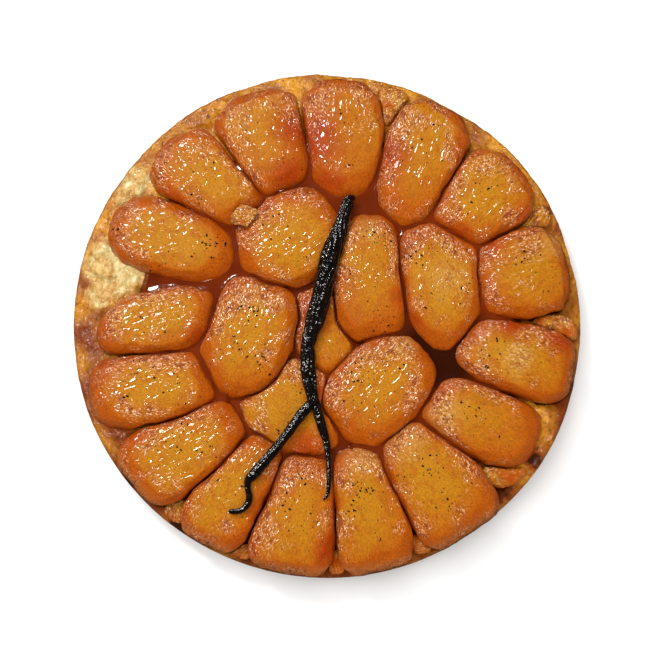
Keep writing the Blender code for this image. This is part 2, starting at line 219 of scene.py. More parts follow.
def places(mesh):
    """The mesh's vertex places as an array."""
    flat = np.empty(len(mesh.vertices) * 3)
    mesh.vertices.foreach_get("co", flat)
    return flat.reshape(-1, 3)


def normals(mesh):
    """The mesh's vertex normals as an array."""
    flat = np.empty(len(mesh.vertices) * 3)
    mesh.vertex_normals.foreach_get("vector", flat)
    return flat.reshape(-1, 3)


def put(mesh, where):
    """Moves the mesh's vertices to these places."""
    mesh.vertices.foreach_set("co", np.asarray(where, np.float32).ravel())
    mesh.update()


def rounded(node, name, levels):
    """The solid as a smooth subdivided piece that still passes through the solid's corners."""
    cage = object_of(merged(node), name)
    subdivision = cage.modifiers.new("round", "SUBSURF")
    subdivision.levels = levels
    subdivision.render_levels = levels
    corners = places(cage.data)
    for _ in range(2):
        smooth = cage.evaluated_get(bpy.context.evaluated_depsgraph_get()).to_mesh()
        put(cage.data, places(cage.data) + 0.8 * (corners - places(smooth)[: len(corners)]))
    evaluated = cage.evaluated_get(bpy.context.evaluated_depsgraph_get())
    mesh = bpy.data.meshes.new_from_object(evaluated)
    old = cage.data
    cage.modifiers.clear()
    cage.data = mesh
    mesh.name = name
    bpy.data.meshes.remove(old)
    return cage


def attribute(mesh, name, kind, values):
    """Stores one value for each vertex under this name."""
    made = mesh.attributes.new(name, kind, "POINT")
    field = {"FLOAT": "value", "FLOAT_VECTOR": "vector", "FLOAT_COLOR": "color"}[kind]
    made.data.foreach_set(field, np.asarray(values, np.float32).ravel())


def search_tree(mesh):
    """A tree that finds the mesh's nearest or first-hit face."""
    body = bmesh.new()
    body.from_mesh(mesh)
    found = BVHTree.FromBMesh(body)
    body.free()
    return found


def refined(mesh):
    """Divides the faces on the mesh's upper side once more."""
    body = bmesh.new()
    body.from_mesh(mesh)
    upper = [face for face in body.faces if face.normal.z > 0.1]
    edges = list({edge for face in upper for edge in face.edges})
    bmesh.ops.subdivide_edges(body, edges=edges, cuts=1, use_grid_fill=True)
    body.to_mesh(mesh)
    body.free()
    mesh.shade_smooth()


def step(low, high, value):
    """0 below low, 1 above high, and smooth in between."""
    part = np.clip((value - low) / (high - low), 0, 1)
    return part * part * (3 - 2 * part)


apple_nodes = sorted(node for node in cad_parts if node.startswith(("slice_", "apple_bit_")))
boxes = {node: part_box(node) for node in apple_nodes}
apples = {}
trees = {}
for node in apple_nodes:
    levels = SLICE_LEVELS if node.startswith("slice_") else BIT_LEVELS
    apples[node] = rounded(node, node + "_cooked", levels)
    trees[node] = search_tree(apples[node].data)


def touching(name):
    """The search trees of the pieces of apple that may touch this one."""
    low, high = boxes[name]
    found = []
    for other in apple_nodes:
        other_low, other_high = boxes[other]
        apart = max(other_low.x - high.x, low.x - other_high.x, other_low.y - high.y, low.y - other_high.y)
        if other != name and apart < FEEL:
            found.append(trees[other])
    return found


def own_axes(where):
    """A slice's middle, its directions along and across, and its half length and half width."""
    middle = where[:, :2].mean(axis=0)
    flat = where[:, :2] - middle
    _, _, turned = np.linalg.svd(flat[::7], full_matrices=False)
    along = turned[0] if turned[0] @ middle > 0 else -turned[0]
    across = np.array((-along[1], along[0]))
    return middle, along, across, abs(flat @ along).max(), abs(flat @ across).max()


def spots(where, found, mottle):
    """How deep each vertex lies in these soft-edged spots, from 0 to 1."""
    depth = np.zeros(len(where))
    low = where.min(axis=0)
    half = (where.max(axis=0) - low) / 2
    for x, y, radius in found:
        dx = where[:, 0] - low[0] - half[0] * (1 + x)
        dy = where[:, 1] - low[1] - half[1] * (1 + y)
        depth = np.maximum(depth, 1 - step(0.1, 1.3, np.hypot(dx, dy) / (radius * MM) + 0.3 * mottle))
    return depth


def folded(place, low, half, folds):
    """How far parallel folds lift this place."""
    lift = 0
    for x, y, radius, direction, spacing, height in folds:
        dx = (place[0] - low[0] - half[0] * (1 + x)) / MM
        dy = (place[1] - low[1] - half[1] * (1 + y)) / MM
        far = math.hypot(dx, dy) / radius
        if far < 1:
            angle = math.radians(direction)
            run = dy * math.cos(angle) - dx * math.sin(angle) + 1.5 * noise.noise(Vector((dx, dy, 0)) / 6)
            patchy = 0.5 + 1.2 * noise.noise(Vector((dx, dy, 9)) / 5)
            lift += patchy * height * MM * (1 - far**2) * math.cos(2 * math.pi * run / spacing)
    return lift


# Each slice swells towards its neighbours, gets its lumps and creases, and is pressed flat.
for index, node in enumerate(apple_nodes):
    mesh = apples[node].data
    where = places(mesh)
    out = normals(mesh)
    near = touching(node)
    seed = Vector((index * 7.3, index * 3.1, 0))
    look = LOOKS.get(node, Look(folds=((0, 0, 14, 20 + 40 * index, 2.2, 0.4),)))
    middle, along, across, half_length, half_width = own_axes(where)
    lengthwise = (where[:, :2] - middle) @ along
    crosswise = (where[:, :2] - middle) @ across
    calm = BIT_CALM if node.startswith("apple_bit_") else 1.0
    swell = np.empty(len(where))
    lift = np.empty(len(where))
    for i, place in enumerate(where):
        point = Vector(place)
        gap = FEEL
        for neighbour in near:
            distance = neighbour.find_nearest(point, FEEL)[3]
            if distance is not None:
                gap = min(gap, distance)
        limit = REACH_FRONT if place[1] < 0 or calm < 1 else REACH_BACK
        outside = float(step(limit - 4 * MM * (calm < 1), limit + 3 * MM, math.hypot(place[0], place[1])))
        swell[i] = min(SWELL_SHARE * gap, SWELL) * (1 - look.loose) * (1 - 0.9 * outside)
        lumps = 0.9 * noise.noise(point / (15 * MM) + seed) + 0.5 * noise.noise(point / (6 * MM) + seed)
        creases = abs(noise.noise(Vector((lengthwise[i] / 7, crosswise[i] / 4, place[2] / 4)) / MM + seed))
        lift[i] = (lumps - 0.6 * creases) * MM * calm
    top = where[:, 2].max()
    if node == "apple_bit_09":  # a chip with four corners
        bearing = np.arctan2(where[:, 1] - middle[1], where[:, 0] - middle[0]) - 0.3
        corner = np.clip(1.25 / (abs(np.cos(bearing)) + abs(np.sin(bearing))), 0.85, 1.2)
        where[:, :2] = middle + (where[:, :2] - middle) * corner[:, None]
    lean_to = noise.noise(seed * 3.7) * along / half_length + noise.noise(seed * 5.1) * across / half_width
    lean = ((where[:, :2] - middle) @ lean_to) ** 2 * LEAN * calm
    pushed = where + out * (1, 1, 0.2) * swell[:, None] + out * lift[:, None]
    crown = top - FLAT_BELOW_TOP * calm - lean
    over = pushed[:, 2] - crown
    pushed[:, 2] = np.where(over > 0, crown + CROWN_KEPT * over, pushed[:, 2])
    put(mesh, pushed)
    refined(mesh)

    # The fine wrinkles and folds of its skin-like film.
    where = places(mesh)
    out = normals(mesh)
    low = where.min(axis=0)
    half = (where.max(axis=0) - low) / 2
    lengthwise = (where[:, :2] - middle) @ along
    crosswise = (where[:, :2] - middle) @ across
    lean = ((where[:, :2] - middle) @ lean_to) ** 2 * LEAN * calm
    over = where[:, 2] - (top - FLAT_BELOW_TOP * calm - lean)
    rise = (where[:, 2] - 20 * MM) / (where[:, 2].max() - 20 * MM)
    mottle = np.empty(len(where))
    fine = np.zeros(len(where))
    for i, place in enumerate(where):
        point = Vector(place)
        mottle[i] = noise.noise(point / (9 * MM) + seed) + 0.5 * noise.noise(point / (4 * MM) + seed)
        if rise[i] > 0.1:
            fibre = Vector((lengthwise[i] / 2.6, crosswise[i] / 1.7, place[2] / 2)) / MM + seed
            rough = step(0.25, 0.8, rise[i]) * (1 - 0.5 * step(0.9, 1, rise[i]) * (mottle[i] < 0.2))
            fine[i] = WRINKLE * rough * (noise.noise(1.4 * fibre) - 1.6 * abs(noise.noise(fibre + seed)))
            fine[i] += folded(place, low, half, look.folds)
    put(mesh, where + out * fine[:, None])

    # Where it is ripe yellow, red, brown and pale, and how much its glaze is wrinkled.
    pulled = (lengthwise * (along @ look.pull) + crosswise * (across @ look.pull)) / half_width
    plateau = step(-0.6 * MM, 0.45 * MM, over + 0.35 * MM * mottle)
    centre = 1 - step(0.2, 0.95, np.hypot(lengthwise / half_length, crosswise / half_width) + 0.25 * mottle)
    yellow = np.clip(plateau * (0.35 + look.ripe * centre + 0.5 * pulled), 0, 1)
    ends = step(113 * MM, 117 * MM, np.hypot(where[:, 0], where[:, 1])) * (where[:, 1] < 0)
    ends *= step(14 * MM, 25 * MM, where[:, 2])
    brown_spots = spots(where, look.brown, mottle)
    # Darker down the sides below the flat top: partly caramel soaked in, partly painted shade deepening
    # towards the gaps between slices.
    brown = np.maximum(step(0, 11 * MM, -over - 0.6 * MM * mottle), 0.62 * brown_spots)
    if calm < 1:
        yellow, brown = 0.8 + 0.5 * mottle, np.maximum(0.12 * brown, -0.8 * mottle - 0.05)
    red = 0.8 * spots(where, look.red, mottle)
    pale = np.maximum(spots(where, look.pale, mottle), 0.5 * ends)
    red = np.maximum(red, 0.6 * ends)
    attribute(mesh, "grain", "FLOAT_VECTOR", np.column_stack((lengthwise, crosswise, where[:, 2])))
    attribute(mesh, "tone", "FLOAT_COLOR", np.column_stack((yellow, red, brown, pale)))
    # Flanks that face the window are wrinkled more and get more of the painted sheen.
    facing = step(0.0, 0.45, out @ LIT_SIDE) * step(-8 * MM, -1 * MM, over)
    # The glaze is smooth in the middle of a slice and wrinkled round it, most on the lit side. This mask
    # also weights the painted sheen, so that is strongest on the side towards the window.
    ring = step(0.4, 0.8, np.hypot(lengthwise / half_length, crosswise / half_width) + 0.15 * mottle)
    toward = (where[:, :2] - middle) @ LIT_SIDE[:2] / half_width
    lit = np.clip(0.55 + 0.6 * toward + 0.5 * mottle, 0.1, 1)
    skin = (0.36 + 0.64 * ring * lit if calm == 1 else 1.0) * step(-4 * MM, -1 * MM, over)
    rough = np.maximum(np.maximum(facing, 0.7 * pale), np.maximum(skin, 0.5 * brown_spots))
    creased = spots(where, [fold[:3] for fold in look.folds], mottle) * step(-4 * MM, -1 * MM, over)
    rough = np.maximum(rough, 0.85 * creased)
    attribute(mesh, "rough", "FLOAT", np.maximum(rough, 0.85 * ends) * (0.9 + 0.8 * mottle))
    trees[node] = search_tree(mesh)

# Stewed apple under set caramel: soft fibrous flesh that lets a little light in, ochre where it is ripe,
# orange to brown down the sides where the caramel soaked in and as painted shade, under a clear hard
# wrinkled glaze.
apple, tree, output = new_material("apple_cooked_in_caramel")
grain = add(tree, "Attribute", attribute_name="grain").outputs["Vector"]
tone = add(tree, "Attribute", attribute_name="tone")
parts = add(tree, "SeparateColor", {0: tone.outputs["Color"]}).outputs
wide = add(tree, "TexCoord").outputs["Object"]
ripe = parts[0]
flesh = add(tree, "Mix", {0: ripe, 6: linear("#AA5005"), 7: linear("#B3740E")}, data_type="RGBA").outputs[2]
blushed = add(tree, "Mix", {0: parts[1], 6: flesh, 7: linear("#982B02")}, data_type="RGBA").outputs[2]
# The sides go deep orange, then near black lower down; the near black is mostly painted shade in the gaps
# between slices.
once = add(tree, "MapRange", {0: parts[2], 1: 0, 2: 0.5}).outputs[0]
twice = add(tree, "MapRange", {0: parts[2], 1: 0.5, 2: 1}).outputs[0]
side = add(tree, "Mix", {0: once, 6: blushed, 7: linear("#A84504")}, data_type="RGBA").outputs[2]
browned_and_shaded = add(tree, "Mix", {0: twice, 6: side, 7: linear("#4E1202")}, data_type="RGBA").outputs[2]
paler = add(tree, "Math", {0: tone.outputs["Alpha"], 1: 0.45}, operation="MULTIPLY").outputs[0]
dull = add(tree, "Mix", {0: paler, 6: browned_and_shaded, 7: linear("#C29144")}, data_type="RGBA").outputs[2]
# The fibres of apple are about 0.2 mm, too fine to show, and are drawn about 0.65 mm across.
fibres = add(
    tree,
    "TexNoise",
    {
        "Vector": add(tree, "Mapping", {"Vector": grain, "Scale": (0.6, 1, 1)}).outputs[0],
        "Scale": 1 / (0.65 * MM),
        "Detail": 1.5,
        "Roughness": 0.6,
        "Distortion": 0.4,
    },
).outputs[0]
streaks = add(tree, "MapRange", {0: fibres, 1: 0.3, 2: 0.7, 3: 0.72, 4: 1.18}).outputs[0]
stain = add(
    tree,
    "TexNoise",
    {"Vector": grain, "Scale": 1 / (6 * MM), "Detail": 4, "Roughness": 0.65, "Distortion": 0.5},
).outputs[0]
stain = add(tree, "MapRange", {0: stain, 1: 0.5, 2: 0.72, 3: 0, 4: 0.75}).outputs[0]
dull = add(tree, "Mix", {0: stain, 6: dull, 7: linear("#A44E08")}, data_type="RGBA").outputs[2]
colour = add(tree, "Mix", {0: 1, 6: dull, 7: streaks}, data_type="RGBA", blend_type="MULTIPLY").outputs[2]
# Painted sheen: a pale colour on the crests of the fine wrinkles stands in for the dull sheen they catch,
# most where the glaze is wrinkled and on the side towards the window.
rough = add(tree, "Attribute", attribute_name="rough").outputs["Fac"]
painted_sheen = add(tree, "MapRange", {0: fibres, 1: 0.53, 2: 0.66, 3: 0, 4: 0.7}).outputs[0]
where_rough = add(tree, "MapRange", {0: rough, 1: 0.45, 2: 1.1}).outputs[0]
painted_sheen = add(tree, "Math", {0: painted_sheen, 1: where_rough}, operation="MULTIPLY").outputs[0]
unblushed = add(tree, "MapRange", {0: parts[1], 3: 1, 4: 0.3}).outputs[0]
painted_sheen = add(tree, "Math", {0: painted_sheen, 1: unblushed}, operation="MULTIPLY").outputs[0]
colour = add(tree, "Mix", {0: painted_sheen, 6: colour, 7: linear("#EFD2AC")}, data_type="RGBA").outputs[2]
specks = add(tree, "TexVoronoi", {"Vector": wide, "Scale": 1 / (3.2 * MM)}).outputs[0]
speck = add(tree, "Math", {0: specks, 1: 0.09}, operation="LESS_THAN").outputs[0]
colour = add(tree, "Mix", {0: speck, 6: colour, 7: linear("#6A2606")}, data_type="RGBA").outputs[2]
strength = add(tree, "MapRange", {0: rough, 3: 0.04, 4: 1.0}).outputs[0]
bump = add(tree, "Bump", {"Height": fibres, "Distance": 0.45 * MM, "Strength": strength}).outputs[0]
# The glaze over it lies in soft swells and ridges, two to five millimetres across.
film = add(
    tree,
    "TexNoise",
    {
        "Vector": add(tree, "Mapping", {"Vector": grain, "Scale": (0.55, 1, 1)}).outputs[0],
        "Scale": 1 / (2.0 * MM),
        "Detail": 0.8,
        "Roughness": 0.5,
        "Distortion": 0.6,
    },
).outputs[0]
ridges = add(
    tree,
    "TexNoise",
    {
        "Vector": add(tree, "Mapping", {"Vector": grain, "Scale": (0.5, 1, 1)}).outputs[0],
        "Scale": 1 / (4.5 * MM),
        "Detail": 1.2,
        "Roughness": 0.5,
        "Distortion": 0.4,
    },
).outputs[0]
ridges = add(tree, "Math", {0: ridges, 1: 0.5}, operation="SUBTRACT").outputs[0]
ridges = add(tree, "Math", {0: ridges}, operation="ABSOLUTE").outputs[0]
ridges = add(tree, "MapRange", {0: ridges, 1: 0.1, 2: 0}, interpolation_type="SMOOTHSTEP").outputs[0]
relief = add(tree, "Math", {0: ridges, 1: 0.3, 2: film}, operation="MULTIPLY_ADD").outputs[0]
wet = add(tree, "Bump", {"Height": relief, "Distance": 1.8 * MM, "Strength": strength}).outputs[0]
crease = add(tree, "MapRange", {0: film, 1: 0.48, 2: 0.36, 3: 0, 4: 0.7}).outputs[0]
edge_only = add(tree, "MapRange", {0: rough, 1: 0.55, 2: 0.95}).outputs[0]
crease = add(tree, "Math", {0: crease, 1: edge_only}, operation="MULTIPLY").outputs[0]
colour = add(tree, "Mix", {0: crease, 6: colour, 7: linear("#7A2804")}, data_type="RGBA").outputs[2]
shader = add(
    tree,
    "BsdfPrincipled",
    {
        "Base Color": colour,
        "Roughness": 0.45,
        "Specular IOR Level": 0.2,
        "Subsurface Weight": 0.2,
        "Subsurface Radius": (1.0, 0.35, 0.1),
        "Subsurface Scale": 3 * MM,
        "Coat Weight": 1.0,
        "Coat Roughness": 0.04,
        "Coat IOR": 1.54,
        "Normal": bump,
        "Coat Normal": wet,
    },
)
tree.links.new(shader.outputs[0], output.inputs[0])
for node, piece in apples.items():
    piece.data.materials.append(apple)
    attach(piece, "root")
    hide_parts(node)

# --- Pastry -----------------------------------------------------------------------------
# A disc of flaky pastry laid over the apples in the tin and tucked down round them, so that
# once turned out it is the base with a low uneven rim. It is golden and crumbly where it
# stayed dry and dark and glassy where the caramel soaked it.

RIM_POINTS = 64  # across the rim
RIM_INSIDE = 82 * MM
ROUND_STEPS = 720  # round the tart
WALL_POINTS = 20  # up its outside
PROFILE_TOP = 12 * MM  # before the crest gets its own height
RIM_CAP = 23 * MM
BESIDE_SLICES = 24 * MM  # how high the rim may stand against a slice
BASE_TOP = 9 * MM
UNDER_APPLE = 4 * MM  # deeper than this under a slice, the dough is pressed down
CREST_FOUND_AT = (108, 112, 115, 117, 118.5)  # millimetres from the axis
# Where the dough stayed dry and crumbly: (x, y, radius) in millimetres from the tart's axis.
CRUMBLY = [(-104, 27, 15), (-97, 21, 13), (-91, 67, 10), (-97, 60, 6), (-108, 12, 8)]
# Where the rim stands higher: (bearing in degrees, reach in degrees, millimetres more).
RAISED = [(34, 24, 8), (76, 24, 4.5), (112, 14, 3.5), (145, 36, -3.5)]
RAISED += [(190, 24, 1.5), (222, 36, 9), (345, 34, 5), (325, 20, 3)]
# Near black patches on the rim, partly charred pastry and partly painted shade in the gaps beside the
# slices: (x, y, radius) in millimetres from the tart's axis.
DARK_PATCHES = [(80, -81, 8), (-92, -76, 6), (113, -30, 7), (104, 52, 5), (-70, -96, 6), (96, -66, 5)]

pastry_tree = search_tree(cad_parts["pastry"].data)
pastry_low, pastry_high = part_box("pastry")
pastry_radius = (pastry_high.x - pastry_low.x) / 2


def height_at(found, x, y):
    """The height of the topmost surface above this spot, or None beside it."""
    hit = found.ray_cast(Vector((x, y, 1)), Vector((0, 0, -1)))[0]
    return None if hit is None else hit.z


def covers(name, x, y):
    """Whether this spot lies in the piece's box, seen from above."""
    low, high = boxes[name]
    return low.x - FEEL < x < high.x + FEEL and low.y - FEEL < y < high.y + FEEL


def apple_distance(x, y, z):
    """How far this place is from the nearest piece of apple, up to the reach of FEEL."""
    point = Vector((x, y, z))
    gap = FEEL
    for node in apple_nodes:
        if covers(node, x, y):
            distance = trees[node].find_nearest(point, FEEL)[3]
            if distance is not None:
                gap = min(gap, distance)
    return gap


dough = bmesh.new()
profile = [dough.verts.new((RIM_INSIDE * part, 0, 8 * MM)) for part in (0, 0.25, 0.5, 0.75)]
for i in range(RIM_POINTS + 1):
    radius = RIM_INSIDE + (pastry_radius - RIM_INSIDE) * i / RIM_POINTS
    profile.append(dough.verts.new((radius, 0, PROFILE_TOP)))
for i in range(WALL_POINTS - 1, -1, -1):
    inset = 0.6 * MM * (i == 0)
    profile.append(dough.verts.new((pastry_radius - inset, 0, i / WALL_POINTS * PROFILE_TOP)))
profile += [dough.verts.new((pastry_radius * part, 0, 0)) for part in (0.9, 0.5, 0)]
edges = [dough.edges.new(pair) for pair in zip(profile, profile[1:])]
bmesh.ops.spin(
    dough,
    geom=profile + edges,
    cent=(0, 0, 0),
    axis=(0, 0, 1),
    angle=2 * math.pi,
    steps=ROUND_STEPS,
    use_merge=True,
)
bmesh.ops.remove_doubles(dough, verts=dough.verts, dist=0.01 * MM)
bmesh.ops.recalc_face_normals(dough, faces=dough.faces)
pastry = object_of(dough, "pastry_baked")
where = places(pastry.data)
radius = np.hypot(where[:, 0], where[:, 1])
soaked = np.zeros(len(where))
pale = np.zeros(len(where))
crests = []
for turn in range(ROUND_STEPS):
    angle = 2 * math.pi * turn / ROUND_STEPS
    out_x, out_y = math.cos(angle), math.sin(angle)
    line = [height_at(pastry_tree, out_x * r * MM, out_y * r * MM) or 0 for r in CREST_FOUND_AT]
    crests.append(max(line))
span = range(-16, 17)
level = [sum(crests[(turn + k) % ROUND_STEPS] for k in span) / len(span) for turn in range(ROUND_STEPS)]
crests = []
for turn, height in enumerate(level):
    bearing = 360 * turn / ROUND_STEPS
    extra = 3 * max(0, math.sin(math.radians(bearing)))
    for middle, reach, more in RAISED:
        away = abs((bearing - middle + 180) % 360 - 180)
        extra += more * (1 - float(step(0, reach, away)))
    crests.append(min(height, RIM_CAP) + extra * MM)
for i, (x, y, z) in enumerate(where):
    if radius[i] < 1 * MM or z < 0.1 * MM:
        continue
    point = Vector((x, y, z))
    turn = math.atan2(y, x)
    crest = crests[round(turn / (2 * math.pi) * ROUND_STEPS) % ROUND_STEPS]
    if z > PROFILE_TOP - 1 * MM:
        # The top: crest, crumb and torn flakes, sunk where an apple slice presses on it.
        edge = pastry_radius - radius[i]
        torn = 0
        for cx, cy, r in CRUMBLY:
            torn += 1 - float(step(0.5, 1.0, math.hypot(x / MM - cx, y / MM - cy) / r))
        torn = min(1, torn)
        lumps = 1.2 * noise.noise(point / (9 * MM)) + 0.6 * noise.noise(point / (4 * MM))
        grit = noise.noise(point / (2.2 * MM)) + 0.6 * noise.noise(point / (1.2 * MM))
        height = crest + MM * (lumps + 0.8 * grit) + 1.5 * MM * float(step(0, 12 * MM, edge))
        flake = noise.noise(point / (11 * MM) + Vector((5, 5, 5))) + 0.25 * noise.noise(point / (3 * MM))
        height += torn * 1.1 * MM * (float(step(-0.02, 0.02, flake)) + 0.6 * float(step(0.2, 0.24, flake)))
        beside = float(step(1 * MM, 5 * MM, apple_distance(x, y, height)))
        height = min(height, BESIDE_SLICES + beside * 6 * MM)
        height -= 1.2 * MM * max(0, 1 - edge / (1.4 * MM)) ** 2
        tops = [height_at(trees[node], x, y) for node in apple_nodes if covers(node, x, y)]
        cover = max([t for t in tops if t is not None], default=0)
        if cover > height + UNDER_APPLE:
            height = max(10 * MM, height - 2 * (cover - height - UNDER_APPLE))
        wavy = radius[i] + 3 * MM * noise.noise(point / (7 * MM))
        inner = float(step(RIM_INSIDE, RIM_INSIDE + 7 * MM, wavy))
        where[i, 2] = BASE_TOP + inner * (height - BASE_TOP)
        # The top is darker towards the front.
        wet_here = 0.45 - 0.4 * y / radius[i] + 1.1 * noise.noise(point / (13 * MM)) - torn
        soaked[i] = float(np.clip(wet_here, 0, 1))
        # The dark patches: part charring, part painted shade beside the slices.
        for cx, cy, r in DARK_PATCHES:
            away = math.hypot(x / MM - cx, y / MM - cy) / r + 0.3 * grit
            soaked[i] += 0.9 * (1 - float(step(0.3, 1.0, away)))
        pale[i] = torn * (1 - 0.5 * float(step(0.05, 0.3, abs(flake))))
    else:
        # The side: thin layers that baked apart.
        tall = (crest - 1.2 * MM) / PROFILE_TOP
        layer = noise.noise(Vector((x / 14, y / 14, z * tall * 0.75)) / MM)
        layer = abs(layer) + 0.4 * abs(noise.noise(Vector((x / 5, y / 5, z * tall * 1.4)) / MM))
        shift = -1.2 * MM * max(0, layer - 0.12) * (z > 0.5 * MM)
        where[i, 0] += shift * math.cos(turn)
        where[i, 1] += shift * math.sin(turn)
        where[i, 2] *= tall
        # The side is darker towards the front.
        soaked[i] = 0.4 - 0.4 * y / radius[i]
over = np.hypot(where[:, 0], where[:, 1]) / pastry_radius
where[:, :2] /= np.maximum(over, 1)[:, None]
put(pastry.data, where)
attribute(pastry.data, "soaked", "FLOAT", soaked)
attribute(pastry.data, "pale", "FLOAT", pale)

# Butter pastry: golden and speckled where it baked dry, cream where it crumbled, and brown under
# a glassy caramel coat where it was soaked.
baked, tree, output = new_material("flaky_pastry")
wide = add(tree, "TexCoord").outputs["Object"]
soak = add(tree, "Attribute", attribute_name="soaked").outputs["Fac"]
layered = add(tree, "Mapping", {"Vector": wide, "Scale": (1, 1, 3)}).outputs[0]
blotch = add(
    tree, "TexNoise", {"Vector": layered, "Scale": 1 / (4.5 * MM), "Detail": 4, "Roughness": 0.7}
).outputs[0]
mix = add(tree, "MapRange", {0: blotch, 1: 0.36, 2: 0.64}).outputs[0]
dry = add(tree, "Mix", {0: mix, 6: linear("#A8822A"), 7: linear("#E2D29C")}, data_type="RGBA").outputs[2]
golden = add(tree, "Mix", {0: mix, 6: linear("#A45C08"), 7: linear("#D6941C")}, data_type="RGBA").outputs[2]
caramelised = add(tree, "Mix", {0: soak, 6: golden, 7: linear("#843A06")}, data_type="RGBA").outputs[2]
# Near black in the dark patches, partly painted shade.
dark_patch = add(tree, "MapRange", {0: soak, 1: 0.9, 2: 1.5}).outputs[0]
caramelised = add(tree, "Mix", {0: dark_patch, 6: caramelised, 7: linear("#421804")}, data_type="RGBA").outputs[2]
crumbly = add(tree, "Attribute", attribute_name="pale").outputs["Fac"]
colour = add(tree, "Mix", {0: crumbly, 6: caramelised, 7: dry}, data_type="RGBA").outputs[2]
crumb = add(
    tree, "TexNoise", {"Vector": wide, "Scale": 1 / (1.6 * MM), "Detail": 3, "Roughness": 0.6}
).outputs[0]
burnt = add(tree, "MapRange", {0: crumb, 1: 0.42, 2: 0.34, 3: 0, 4: 0.85}).outputs[0]
burnt = add(tree, "Math", {0: burnt, 1: crumbly}, operation="SUBTRACT", use_clamp=True).outputs[0]
colour = add(tree, "Mix", {0: burnt, 6: colour, 7: linear("#5A2606")}, data_type="RGBA").outputs[2]
bump = add(tree, "Bump", {"Height": crumb, "Distance": 0.6 * MM}).outputs[0]
film = add(tree, "TexNoise", {"Vector": wide, "Scale": 1 / (1.7 * MM), "Detail": 1}).outputs[0]
wet = add(tree, "Bump", {"Height": film, "Distance": 1.4 * MM}).outputs[0]
shader = add(
    tree,
    "BsdfPrincipled",
    {
        "Base Color": colour,
        "Roughness": 0.5,
        "Normal": bump,
        "Coat Weight": add(tree, "MapRange", {0: crumbly, 3: 1, 4: 0.6}).outputs[0],
        "Coat Roughness": 0.06,
        "Coat IOR": 1.54,
        "Coat Normal": wet,
    },
)
tree.links.new(shader.outputs[0], output.inputs[0])
pastry.data.materials.append(baked)
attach(pastry, "root")
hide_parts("pastry")

# --- Caramel ----------------------------------------------------------------------------
# Butter caramel with apple juice, set to a dark glossy syrup in the gaps between the slices.
# It creeps a little way up whatever it touches.

POOL_LEVEL = 26 * MM
POOL_CELL = 0.9 * MM
POOL_STEPS = 480  # round the tart
POOL_REACH = 116 * MM
POOL_BOTTOM = 9 * MM
POOL_LOWEST = 17 * MM  # round the scraps at the rim
CREEP = 0.6 * MM  # up what it touches
DEEPEST = (53 * MM, -15 * MM, POOL_LEVEL)  # the open pool, where it looks nearly black

pool = bmesh.new()
rings = int(POOL_REACH / POOL_CELL)
ray = [pool.verts.new((POOL_CELL * i, 0, POOL_LEVEL)) for i in range(rings + 1)]
skirt = [pool.verts.new((POOL_CELL * rings, 0, POOL_BOTTOM)), pool.verts.new((0, 0, POOL_BOTTOM))]
line = ray + skirt
edges = [pool.edges.new(pair) for pair in zip(line, line[1:])]
bmesh.ops.spin(
    pool,
    geom=line + edges,
    cent=(0, 0, 0),
    axis=(0, 0, 1),
    angle=2 * math.pi,
    steps=POOL_STEPS,
    use_merge=True,
)
bmesh.ops.remove_doubles(pool, verts=pool.verts, dist=0.01 * MM)
bmesh.ops.recalc_face_normals(pool, faces=pool.faces)
caramel = object_of(pool, "caramel")
where = places(caramel.data)
for i, (x, y, z) in enumerate(where):
    if z < POOL_LEVEL - 0.1 * MM:
        continue
    # It lies lower towards the rim, most of all at the front, and under low scraps.
    radius = math.hypot(x, y)
    frontward = 1 - 0.5 * y / radius if radius else 1
    level = POOL_LEVEL - 8 * MM * float(step(80 * MM, 114 * MM, radius)) * frontward
    level += 0.8 * MM * noise.noise(Vector((x, y, 0)) / (11 * MM))
    level = min(level, POOL_LEVEL + 1 * MM - 13 * MM * float(step(83 * MM, 98 * MM, radius)))
    lowest = min([boxes[node][1].z for node in apple_nodes if covers(node, x, y)], default=34 * MM)
    level = min(level, max(POOL_LOWEST, lowest - 6 * MM))
    where[i, 2] = level + CREEP * math.exp(-apple_distance(x, y, level) / (0.8 * MM))
put(caramel.data, where)

# Set butter caramel: a clear brown syrup, nearly black where it is deep, with a mirror-like skin.
syrup, tree, output = new_material("butter_caramel")
wide = add(tree, "TexCoord").outputs["Object"]
deep = add(tree, "VectorMath", {0: wide, 1: DEEPEST}, operation="DISTANCE").outputs["Value"]
dark = add(tree, "MapRange", {0: deep, 1: 28 * MM, 2: 14 * MM}).outputs[0]
swirl = add(tree, "TexNoise", {"Vector": wide, "Scale": 1 / (14 * MM), "Detail": 1}).outputs[0]
thin = add(tree, "Mix", {0: swirl, 6: linear("#441203"), 7: linear("#7C2C06")}, data_type="RGBA").outputs[2]
colour = add(tree, "Mix", {0: dark, 6: thin, 7: linear("#2E0E04")}, data_type="RGBA").outputs[2]
shader = add(
    tree,
    "BsdfPrincipled",
    {"Base Color": colour, "Roughness": 0.12, "IOR": 1.48, "Coat Weight": 0.5, "Coat Roughness": 0.03},
)
tree.links.new(shader.outputs[0], output.inputs[0])
caramel.data.materials.append(syrup)
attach(caramel, "root")

# --- Vanilla pod ------------------------------------------------------------------------
# A dried vanilla pod, slit from one end, so that its body runs out into two tails. It is
# leathery, pleated lengthwise, nearly black and oily, and was laid on last.

POD_STEP = 0.7 * MM
POD_FLATNESS = 0.62
